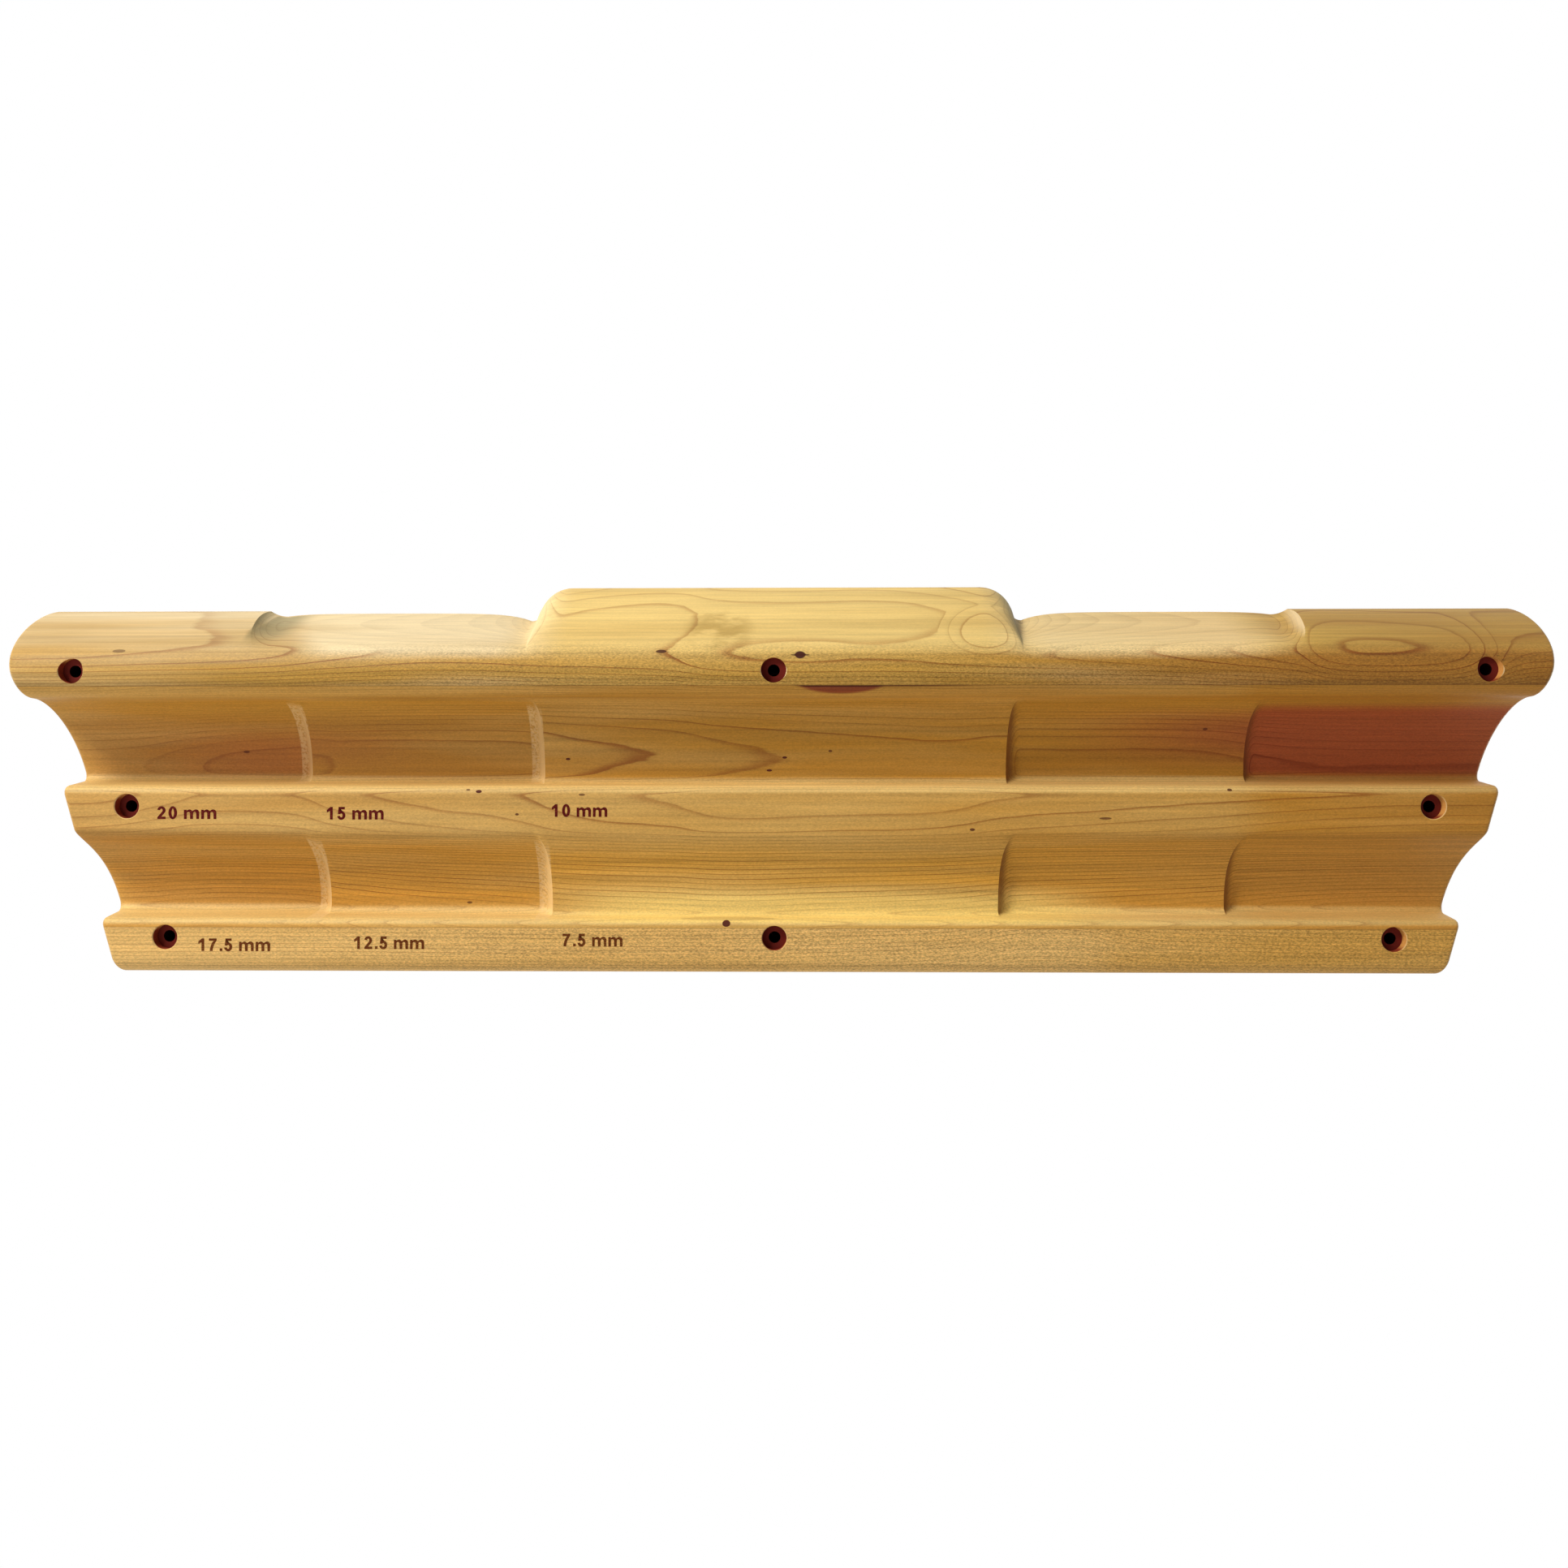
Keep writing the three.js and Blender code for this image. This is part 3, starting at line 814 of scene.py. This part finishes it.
def top_wood():
    """Straw-coloured block between cream slopers, and wings that turn golden to the right."""
    material, tree, shader = bare("top_wood_oiled")
    position, x, depth, height = coordinates(tree)
    swell = [
        (-345, 3.5), (-300, 3.0), (-250, 2.25), (-200, 0.55), (-150, -0.8), (-110, -1.4), (-60, -1.6),
        (-28, -0.4), (-10, -0.1), (15, 0.0), (50, -0.1), (80, 0.3), (110, 1.2), (150, 2.75), (200, 4.6),
        (240, 6.2), (270, 8.7), (300, 8.5), (330, 5.8), (350, 3.6),
    ]
    tilt = [
        (-345, -0.055), (-180, -0.008), (-60, 0.129), (60, 0.143), (200, 0.001), (300, 0.019), (350, -0.1),
    ]
    growth = layers((x, depth, height), angle=45, shift=30.0, bow=0.006, swell=swell, tilt=tilt)
    burr_rise, first_ring = 2.5, -67.0

    # The rail's front has more lines and a warmer tone than its top; the change sits lower beside the wings.
    # The paler top is partly its own wood and partly a painted highlight, and the warmer front partly painted
    # shade below the crest.
    drop = curve(x, [
        (-345, -9), (-240, -9), (-205, 1.4), (-130, 1.4), (-100, 0), (105, 0), (130, 1.3), (215, 1.3),
        (245, 0),
    ])
    spread = ramp(x, -200, -240, 0, 9)
    front = ramp(height + drop, spread + 76, 68 - spread)
    warmth_above = curve(x, [
        (-345, 0.36), (-250, 0.34), (-200, 0.03), (-120, 0.03), (-95, 0.1), (105, 0.12), (135, 0.05),
        (215, 0.06), (245, 0.5), (300, 0.56), (350, 0.52),
    ])
    warmth_below = curve(x, [(-345, 0.86), (-150, 0.9), (-60, 0.82), (60, 0.86), (130, 1.0), (350, 1.0)])
    lines_above = curve(x, [
        (-345, 0.4), (-250, 0.34), (-225, 0.04), (-130, 0.03), (-105, 0.4), (105, 0.45), (135, 0.1),
        (215, 0.12), (245, 0.48), (350, 0.48),
    ])

    # Painted shade in the fold beside the left wing and on the block's right shoulder, sides that face away
    # from the lamp, laid on in the dark olive cut colour
    fold = ramp(x, -252, -249) * ramp(x, -228, -242, 0.0, 0.65) * ramp(height, 74, 86) * ramp(depth, 0.3, 2)
    shoulder = window(x, (92, 98), (124, 130)) * ramp(facing(tree)[0], 0.45, 0.85, 0.0, 0.9)
    stain = ellipse(x, height, *STAIN, 0.1) * ramp(grain(position, "stain"), 0.36, 0.6)
    finish_wood(
        tree,
        shader,
        painted_step_light=larger(fold, shoulder),
        Position=position,
        Pale=tinted(x, (
            (-130, (236, 212, 164)), (-98, STRAW), (98, STRAW), (130, (244, 214, 152)),
            (215, (250, 214, 148)), (250, (224, 184, 94)),
        )),
        Golden=tinted(x, ((60, (181, 137, 56)), (150, (172, 124, 50)), (240, (162, 110, 42)))),
        Line=linear(182, 128, 84),
        Heartwood=linear(186, 150, 78),
        Knot=linear(66, 26, 12),
        # Cut colour along the board: olive painted shade, pale and cream painted highlights; tan at the ends
        Cut=tinted(x, (
            (-300, TAN), (-270, OLIVE_SHADE), (-218, OLIVE_SHADE), (-190, (238, 210, 156)), (92, (244, 218, 166)),
            (99, SHADED_OLIVE), (126, SHADED_OLIVE), (136, CREAM_HIGHLIGHT), (225, CREAM_HIGHLIGHT), (265, CREAM_HIGHLIGHT), (300, TAN),
        )),
        Layers=growth + ellipse(x, height, *BURR, 0.0) * burr_rise + first_ring,
        Ring_Width=1.25,
        Line_Strength=mixed(front, lines_above, 0.9),
        Speckle=ramp(height, 79, 68, 0.1, 0.85) * ramp(x, -300, -120, 0.4, 1.0),
        Wobble=0.3,
        Heart=stain * 0.75,
        Warmth=mixed(front, warmth_above, warmth_below),
        Dark=ellipse(x, height, *KNOT) + flecks(x, height, TOP_FLECKS) + glue_line(height, TOP_JOINT, 0.35),
    )
    return material


def step_highlights(x, steps):
    """1 on the roundings of the left-hand steps, from where each leaves the deeper form to its arris;
    there a painted highlight goes, since these roundings face the lamp.
    """
    width, start, fade = 7.6, 0.3, 0.8
    return sum(
        window(x, (-step - start, -step + start), (width - step - fade, width - step)) for step in steps
    )


def centre_wood():
    """Golden wood of the finger edges, with red heartwood behind the deepest ones and pale sapwood below."""
    material, tree, shader = bare("centre_wood_oiled")
    position, x, depth, height = coordinates(tree)
    swell = [
        (-340, -2.4), (-290, -3.5), (-250, -4.2), (-210, -3.4), (-170, -2.7), (-130, -2.2), (-90, -1.2),
        (-50, -0.7), (-10, 0.0), (30, 0.0), (70, 0.0), (110, -0.7), (150, -1.0), (190, -1.35), (230, -1.6),
        (270, -1.8), (300, -2.0),
    ]
    tilt = [(-300, 0.45), (-150, 0.528), (-60, 0.544), (30, 0.52), (100, 0.492), (200, 0.456), (300, 0.381)]
    growth = layers((x, depth, height), angle=30, shift=-10.0, bow=-0.00468, swell=swell, tilt=tilt)

    # Red heartwood deep in the upper row, strong to the right and faint to the left
    deep = ramp(depth + height * -0.36, 11, 5.5) * ramp(height, 11, 18)
    right = ramp(x, 120, 240)
    left = ramp(x, -325, -250, 0.0, 0.42) * ramp(x, -150, -235) * ramp(height, 42, 28)
    bark = ellipse(x, height, *BARK)
    seam = ramp(height, TOP_JOINT - 0.9, TOP_JOINT - 0.3, 0.0, 0.8) * window(x, (8, 16), (60, 110))

    # Sapwood over the low joint, and the lip of the lower ledge
    above_joint = ramp(height, LOW_JOINT + 1.4, LOW_JOINT + 3.2)
    sapwood = window(x, (-130, -60), (110, 190)) * ramp(height, -35, -46) * above_joint
    low_lip = ramp(height, -46, -51) * above_joint

    upper_gold = tinted(x, (
        (-320, (179, 124, 46)), (-150, (183, 128, 44)), (-20, (188, 133, 44)), (60, (192, 134, 42)),
        (200, (192, 134, 46)), (320, (188, 130, 50)),
    ))
    # Painted light: the cove's ceiling under the crest made a paler gold, strongest to the left
    painted_ceiling_light = ramp(height, 39, 49) * ramp(x, -40, -220, 0.05, 0.8)
    upper_gold = blend(painted_ceiling_light, upper_gold, linear(200, 146, 56))
    lower_gold = tinted(x, (
        (-320, (196, 136, 46)), (-150, (200, 142, 50)), (-60, (206, 150, 54)), (60, (206, 150, 54)),
        (320, (202, 143, 62)),
    ))
    # Painted shade low on the upper coves' back wall, where the crest's shadow falls, laid on as a dark mark
    painted_cove_shade = ramp(height, 30, 23, 0.0, 0.1) * ramp(height, 13, 17) * window(x, (-240, -200), (205, 240))

    # Growth lines: stronger in the lower row, fading on its ledge and calmer in the deepest edges
    lines = ramp(height, -13, -20, 0.6, 0.95) + ramp(height, -41, -48, 0.0, -0.7)
    calm = larger(ramp(x, -190, -215), ramp(x, 235, 260)) * ramp(height, 9, 14)
    # Painted highlights on the roundings of the left-hand steps, broken up by torn grain
    upper_step_highlights = ramp(height, 10, 13) * step_highlights(x, UPPER_STEPS)
    lower_step_highlights = ramp(height, -10, -13) * step_highlights(x, LOWER_STEPS)
    torn = ramp(grain(position, "torn"), 0.3, 0.6, 0.1, 0.55)

    # The tone grows warmer into the coves, painted shade over the wood's own golden tone, and to the right;
    # it is paler where the ledges face up, a painted highlight from the light above
    along_board = curve(x, [
        (-340, 0.5), (-200, 0.52), (-60, 0.5), (60, 0.52), (205, 0.62), (245, 0.95), (340, 1.0),
    ])
    ledge_highlight = ramp(facing(tree)[2], 0.12, 0.62) * curve(x, [
        (-340, -0.7), (-180, -0.62), (-60, -0.72), (60, -0.82), (165, -0.82), (270, -0.8),
    ])
    warmth = along_board + ramp(depth, 34, 25, 0.0, 0.42) + ramp(height, 43, 50, 0.0, 0.3) + ledge_highlight
    finish_wood(
        tree,
        shader,
        painted_step_light=(upper_step_highlights + lower_step_highlights) * torn * ramp(depth, 30, 26) * ramp(depth, 2, 5),
        Position=position,
        Pale=blend(sapwood, linear(226, 188, 114), linear(242, 206, 116)),
        Golden=blend(ramp(height, -11, -20), upper_gold, lower_gold),
        Line=linear(178, 124, 82),
        Heartwood=linear(176, 88, 45),
        Knot=linear(82, 34, 16),
        # Cut colour along the board: pale torn grain, a painted highlight on the left-hand steps that face
        # the lamp; umber, painted shade on the right-hand steps that face away
        Cut=tinted(x, (
            (-300, (214, 174, 118)), (-270, TORN_GRAIN_HIGHLIGHT), (-40, TORN_GRAIN_HIGHLIGHT), (40, UMBER_SHADE), (265, UMBER_SHADE),
            (290, (214, 174, 118)),
        )),
        Layers=growth,
        Ring_Width=1.1,
        Line_Strength=lines * (1.0 - calm * 0.45),
        Speckle=0.32,
        Wobble=0.3,
        Warmth=warmth - sapwood * 0.78 - low_lip * 0.25,
        Heart=larger(deep * larger(right, left), bark),
        Dark=(
            bark * 0.45
            + seam
            + painted_cove_shade
            + flecks(x, height, CENTRE_FLECKS)
            + glue_line(height, TOP_JOINT, 0.35)
            + glue_line(height, LOW_JOINT, 0.3)
        ),
    )
    return material


def bottom_wood():
    """Speckled foot rail, paler about the middle and golden to the right."""
    material, tree, shader = bare("bottom_wood_oiled")
    position, x, depth, height = coordinates(tree)
    swell = [
        (-330, 0.5), (-200, 0.0), (-60, 0.6), (40, -1.0), (95, -4.0), (125, -9.0), (160, -5.0), (200, -1.5),
        (320, 0.5),
    ]
    tilt = [(-300, 0.0), (0, 0.01), (300, 0.0)]
    finish_wood(
        tree,
        shader,
        Position=position,
        Pale=linear(228, 186, 114),
        Golden=linear(206, 156, 74),
        Line=linear(178, 124, 82),
        Heartwood=linear(150, 84, 44),
        Knot=linear(80, 30, 20),
        Cut=linear(208, 168, 112),
        Layers=layers((x, depth, height), angle=68, shift=0.0, bow=0.0, swell=swell, tilt=tilt),
        Ring_Width=1.7,
        Line_Strength=0.6,
        Speckle=ramp(x, -320, -60, 0.5, 0.95),
        Wobble=0.5,
        Warmth=curve(x, [
            (-330, 0.3), (-200, 0.44), (-60, 0.52), (0, 0.4), (60, 0.3), (115, 0.25), (165, 0.72),
            (220, 0.88), (330, 1.0),
        ]),
        Dark=glue_line(height, LOW_JOINT, 0.3),
    )
    return material


def dull(shader, roughness, specular):
    """A finish with hardly any shine."""
    put(shader.inputs["Roughness"], roughness)
    put(shader.inputs["Specular IOR Level"], specular)


def bored_wood():
    """Cut grain of the counterbores, redder than the face, with painted light and shade: a dark seat and
    a darker shaded side of the wall as painted shade, and paler lit grain low and right as painted light.
    """
    material, tree, shader = bare("bored_wood")
    across, out, up = facing(tree)
    # Painted shade on the seat and on the shaded side of the wall
    seat = ramp(calc("ABSOLUTE", out), 0.6, 0.9)
    shaded = ramp(across + up, -0.4, 0.4, 1.0, 0.0)
    wall = blend(grain(coordinates(tree)[0], "bored"), linear(196, 128, 62), linear(226, 164, 86))
    wall = blend(shaded, linear(140, 56, 34), wall)
    put(shader.inputs["Base Color"], blend(seat, wall, linear(104, 34, 26)))
    dull(shader, roughness=0.8, specular=0.08)
    return material


def painted_shank_shade():
    """Nearly black, a painted shade for the dark deep in the through holes."""
    material, _, shader = bare("painted_shank_shade")
    put(shader.inputs["Base Color"], linear(26, 10, 8))
    dull(shader, roughness=0.9, specular=0.0)
    return material


def scorched_wood(name, deep, faint):
    """Burned size marks, uneven where the burn bit less."""
    material, tree, shader = bare(name)
    bite = ramp(grain(coordinates(tree)[0], "scorched"), 0.45, 0.8)
    put(shader.inputs["Base Color"], blend(bite, linear(*deep), linear(*faint)))
    dull(shader, roughness=0.85, specular=0.05)
    return material


# Size marks, burned into the two rail faces

def bend(centre, half, start, end, count=12):
    """Points of an ellipse between two angles in degrees."""
    return arc(centre, half, math.radians(start), math.radians(end), count)


def glyph_nought():
    """Outline of a nought, and the outline of its hole."""
    centre = (0.32, 0.5)
    return [bend(centre, (0.32, 0.51), 0, 360, 36)[:-1], bend(centre, (0.13, 0.36), 0, 360, 36)[:-1]]


def glyph_two():
    """Outline of a two: its bowl, its foot, and back along the bowl's inside."""
    centre = (0.31, 0.7)
    foot = [(0.28, 0.17), (0.63, 0.17), (0.63, 0), (0, 0), (0, 0.12)]
    return [np.vstack([bend(centre, (0.31, 0.31), 170, -38), foot, bend(centre, (0.12, 0.16), -38, 170)])]


def glyph_five():
    """Outline of a five: its flag, its bowl, and back along the bowl's inside."""
    flag = [(0.03, 0.45), (0.1, 1), (0.58, 1), (0.58, 0.83), (0.25, 0.83), (0.225, 0.66)]
    bowl = bend((0.3, 0.32), (0.32, 0.34), 102, -168, 18)
    return [np.vstack([flag, bowl, bend((0.3, 0.32), (0.13, 0.18), -162, 138, 18)])]


def glyph_seven():
    """Outline of a seven, its stem drawn by two curves."""
    outer = bezier([(0.62, 0.86), (0.45, 0.65), (0.29, 0.35), (0.28, 0)], 6)
    inner = bezier([(0.08, 0), (0.1, 0.3), (0.22, 0.62), (0.4, 0.83)], 6)
    return [np.vstack([[(0, 0.83), (0, 1), (0.62, 1)], outer, inner])]


def glyph_m():
    """Outline of an m: over both arches, down the right stem, and back through the two openings."""
    left = [(0, 0), (0, 0.73), (0.17, 0.73), (0.18, 0.65)]
    first_arch = bend((0.43, 0.5), (0.2, 0.25), 120, 50, 6)
    second_arch = bend((0.92, 0.5), (0.2, 0.25), 130, 95, 3)
    right = np.vstack([bend((0.95, 0.5), (0.23, 0.25), 90, 0, 6), [(1.18, 0), (0.99, 0)]])
    first_opening, second_opening = (
        np.vstack([
            bend((at + 0.06, 0.44), (0.13, 0.14), 0, 90, 5),
            bend((at, 0.44), (0.11, 0.14), 90, 180, 4),
        ])
        for at in (0.3, 0.8)
    )
    middle = [(0.69, 0), (0.49, 0)]
    tops = [first_arch, [(0.64, 0.62)], second_arch]
    return [np.vstack([left, *tops, right, second_opening, middle, first_opening, [(0.19, 0)]])]


# Bold signs one unit tall with bars 0.19 wide, and how far the pen moves on after each
GLYPHS = {
    "0": glyph_nought(),
    "1": [[(0.48, 1), (0.48, 0), (0.28, 0), (0.28, 0.7), (0.02, 0.58), (0.02, 0.75), (0.31, 1)]],
    "2": glyph_two(),
    "5": glyph_five(),
    "7": glyph_seven(),
    "m": glyph_m(),
    ".": [[(0, 0), (0, 0.19), (0.19, 0.19), (0.19, 0)]],
}
ADVANCE = {**dict.fromkeys("01257", 0.9), ".": 0.39, " ": 0.33, "m": 1.38}

# Marks in millimetres; boldness in units of the signs
MARK_HEIGHT = 5.8
MARK_SUNK, MARK_THICKNESS = 0.02, 0.05
OUTER_BOLDNESS, INNER_BOLDNESS = 0.025, -0.03


def bolder(line, by):
    """A closed outline moved outward, each point along the mean direction of the two edges it joins."""
    line = np.array(line, dtype=float)
    into, onward = line - np.roll(line, 1, axis=0), np.roll(line, -1, axis=0) - line
    along = unit(unit(into) + unit(onward))
    turning = np.sign(np.sum(line[:, 0] * onward[:, 1] - line[:, 1] * onward[:, 0]))
    return line + by * turning * np.stack([along[:, 1], -along[:, 0]], axis=1)


def size_mark(words, left, foot, face, width, material):
    """Bold signs in a row, a hair thick and fitted between two ends, standing just proud of the rail."""
    pen, signs = 0.0, []
    for sign in words:
        if sign in GLYPHS:
            outlines = zip(GLYPHS[sign], (OUTER_BOLDNESS, INNER_BOLDNESS))
            signs.append([bolder(line, by) + (pen, 0) for line, by in outlines])
        pen += ADVANCE[sign]
    across = np.concatenate([line[:, 0] for outlines in signs for line in outlines])
    low, high = across.min(), across.max()
    bm = bmesh.new()
    for outlines in signs:
        rings = []
        for line in outlines:
            x = left + (line[:, 0] - low) / (high - low) * width
            z = foot + line[:, 1] * MARK_HEIGHT
            rings.append([bm.verts.new((a * MM, (MARK_SUNK - face) * MM, b * MM)) for a, b in zip(x, z)])
        if len(rings) == 1:
            bm.faces.new(rings[0])
        else:
            outer, inner = rings
            for corners in zip(outer, outer[1:] + outer[:1], inner[1:] + inner[:1], inner):
                bm.faces.new(corners)
    grown = bmesh.ops.extrude_face_region(bm, geom=bm.faces[:])
    for v in grown["geom"]:
        if isinstance(v, bmesh.types.BMVert):
            v.co.y -= MARK_THICKNESS * MM
    bmesh.ops.recalc_face_normals(bm, faces=bm.faces)
    name = "mark_" + words.replace(" ", "_").replace(".", "_")
    mesh = bpy.data.meshes.new(name)
    bm.to_mesh(mesh)
    bm.free()
    mesh.materials.append(material)
    obj = placed(name, mesh)
    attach(obj, "root")
    return obj


# Camera and lamps, in metres; each lamp has a name, a place, a power in watts and a width

CAMERA_PLACE = (0.0121, -0.5398, 0.0112)
CAMERA_YAW, CAMERA_PITCH = math.radians(-0.846), math.radians(-0.07)
CAMERA_LENS, CAMERA_SENSOR = 24.73, 36.0
LAMPS = (
    ("key", (-1.05, -0.75, 1.2), 28.2, 0.52),
    ("fill", (-0.75, -0.95, -0.3), 3.9, 0.9),
    ("behind", (1.3, 0.65, 0.05), 7.0, 0.8),
)


def aim(obj, place, ahead):
    """Puts a camera or a lamp in its place, looking ahead."""
    obj.location = place
    obj.rotation_mode = "QUATERNION"
    obj.rotation_quaternion = ahead.to_track_quat("-Z", "Y")


camera_data = bpy.data.cameras.new("camera")
camera_data.sensor_width = CAMERA_SENSOR
camera_data.lens = CAMERA_LENS
camera = placed("camera", camera_data)
level = math.cos(CAMERA_PITCH)
camera_ahead = Vector((math.sin(CAMERA_YAW) * level, math.cos(CAMERA_YAW) * level, math.sin(CAMERA_PITCH)))
aim(camera, CAMERA_PLACE, camera_ahead)
bpy.context.scene.camera = camera
bpy.context.scene.view_settings.view_transform = "Standard"

for lamp_name, lamp_place, power, size in LAMPS:
    lamp = bpy.data.lights.new(lamp_name, "AREA")
    lamp.energy = power
    lamp.size = size
    aim(placed(lamp_name, lamp), lamp_place, -Vector(lamp_place))


# Floor and backdrop, in metres; the dark sheet behind the screw holes, a painted shade, in millimetres,
# its edges well inside the board's own

FLOOR_HALF, FLOOR_HEIGHT = 4.0, -0.5
FLOOR_FADE, BEHIND_FADE = (0.7, 1.3), (0.0, 0.15)
FLOOR_GREY = 0.86
SOFT_LIGHT = 0.24
SHEET_LOW, SHEET_HIGH, SHEET_INSET, SHEET_GAP = -72.0, 84.0, 6.0, 0.4


def white_to_the_eye(tree):
    """1 for rays that should find a white background."""
    rays = node(tree, "ShaderNodeLightPath")
    seen = larger(out(rays, "Is Camera Ray"), out(rays, "Is Glossy Ray"))
    return larger(seen, out(rays, "Is Transmission Ray"))


def join_shaders(tree, factor, first, second, output):
    """Mixes two shaders by a factor and gives the result to an output node of this kind."""
    mix = node(tree, "ShaderNodeMixShader")
    for socket, value in zip(mix.inputs, (factor, out(first), out(second))):
        put(socket, value)
    node(tree, output, Surface=out(mix))


world = bpy.data.worlds.new("studio")
bpy.context.scene.world = world
world.use_nodes = True
world.node_tree.nodes.clear()
join_shaders(
    world.node_tree,
    white_to_the_eye(world.node_tree),
    node(world.node_tree, "ShaderNodeBackground", Strength=SOFT_LIGHT),
    node(world.node_tree, "ShaderNodeBackground", Color=(1, 1, 1, 1), Strength=1.0),
    "ShaderNodeOutputWorld",
)


def floor_material():
    """Pale floor that keeps shadows near the object and turns plain white further away."""
    material, tree = empty_material("floor")
    x, y, _ = parts(out(node(tree, "ShaderNodeTexCoord"), "Object"))
    away = calc("SQRT", x * x + y * y)
    far = larger(ramp(away, *FLOOR_FADE), ramp(y, *BEHIND_FADE))
    join_shaders(
        tree,
        far * white_to_the_eye(tree),
        node(tree, "ShaderNodeBsdfDiffuse", Color=(FLOOR_GREY, FLOOR_GREY, FLOOR_GREY, 1)),
        node(tree, "ShaderNodeEmission", Color=(1, 1, 1, 1), Strength=1.0),
        "ShaderNodeOutputMaterial",
    )
    return material


def hole_shade_sheet_material():
    """A near-black sheet at the wall, seen only by the camera through the screw holes: painted shade for
    the dark inside them; clear from behind and to all other light.
    """
    material, tree = empty_material("wall")
    behind = out(node(tree, "ShaderNodeNewGeometry"), "Backfacing")
    seen = out(node(tree, "ShaderNodeLightPath"), "Is Camera Ray")
    join_shaders(
        tree,
        larger(behind, 1.0 - seen),
        node(tree, "ShaderNodeBsdfDiffuse", Color=linear(8, 4, 3)),
        node(tree, "ShaderNodeBsdfTransparent"),
        "ShaderNodeOutputMaterial",
    )
    return material


def plate(name, corners, material):
    """A flat piece of the stage."""
    mesh = bpy.data.meshes.new(name)
    mesh.from_pydata(corners, [], [tuple(range(len(corners)))])
    mesh.materials.append(material)
    obj = placed(name, mesh)


plate(
    "floor",
    [(x * FLOOR_HALF, y * FLOOR_HALF, FLOOR_HEIGHT) for x, y in ((-1, -1), (1, -1), (1, 1), (-1, 1))],
    floor_material(),
)
# A near-black sheet at the wall, a painted shade seen through the screw holes
plate(
    "wall",
    [
        (side * (end_x(height) - SHEET_INSET) * MM, SHEET_GAP * MM, height * MM)
        for side, height in ((-1, SHEET_LOW), (1, SHEET_LOW), (1, SHEET_HIGH), (-1, SHEET_HIGH))
    ],
    hole_shade_sheet_material(),
)


# The board

hole_woods = [bored_wood(), painted_shank_shade()]
whole = bored(board_mesh(), bore_cutter())
for stave_name, finish, wood, below, above in (
    ("top_stave", "top_wood", top_wood(), TOP_JOINT, None),
    ("centre_stave", "centre_wood", centre_wood(), LOW_JOINT, TOP_JOINT),
    ("bottom_stave", "bottom_wood", bottom_wood(), None, LOW_JOINT),
):
    piece = stave(stave_name + "_finished", whole, below, above, [wood] + hole_woods)
    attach(piece, "root")
    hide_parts(stave_name)

rail_scorch = scorched_wood("rail_scorch", (84, 18, 18), (124, 52, 36))
foot_scorch = scorched_wood("foot_scorch", (96, 46, 20), (142, 92, 44))
for words, left, foot, face, width, slot, scorch in (
    ("20 mm", -293.8, -6.0, RAIL_DEPTH, 28.4, "centre_wood", rail_scorch),
    ("15 mm", -212.6, -6.2, RAIL_DEPTH, 27.2, "centre_wood", rail_scorch),
    ("10 mm", -105.4, -4.9, RAIL_DEPTH, 26.4, "centre_wood", rail_scorch),
    ("17.5 mm", -275.0, -69.0, FOOT_DEPTH, 34.6, "bottom_wood", foot_scorch),
    ("12.5 mm", -200.2, -67.9, FOOT_DEPTH, 33.6, "bottom_wood", foot_scorch),
    ("7.5 mm", -100.6, -66.4, FOOT_DEPTH, 28.6, "bottom_wood", foot_scorch),
):
    mark = size_mark(words, left, foot, face, width, scorch)
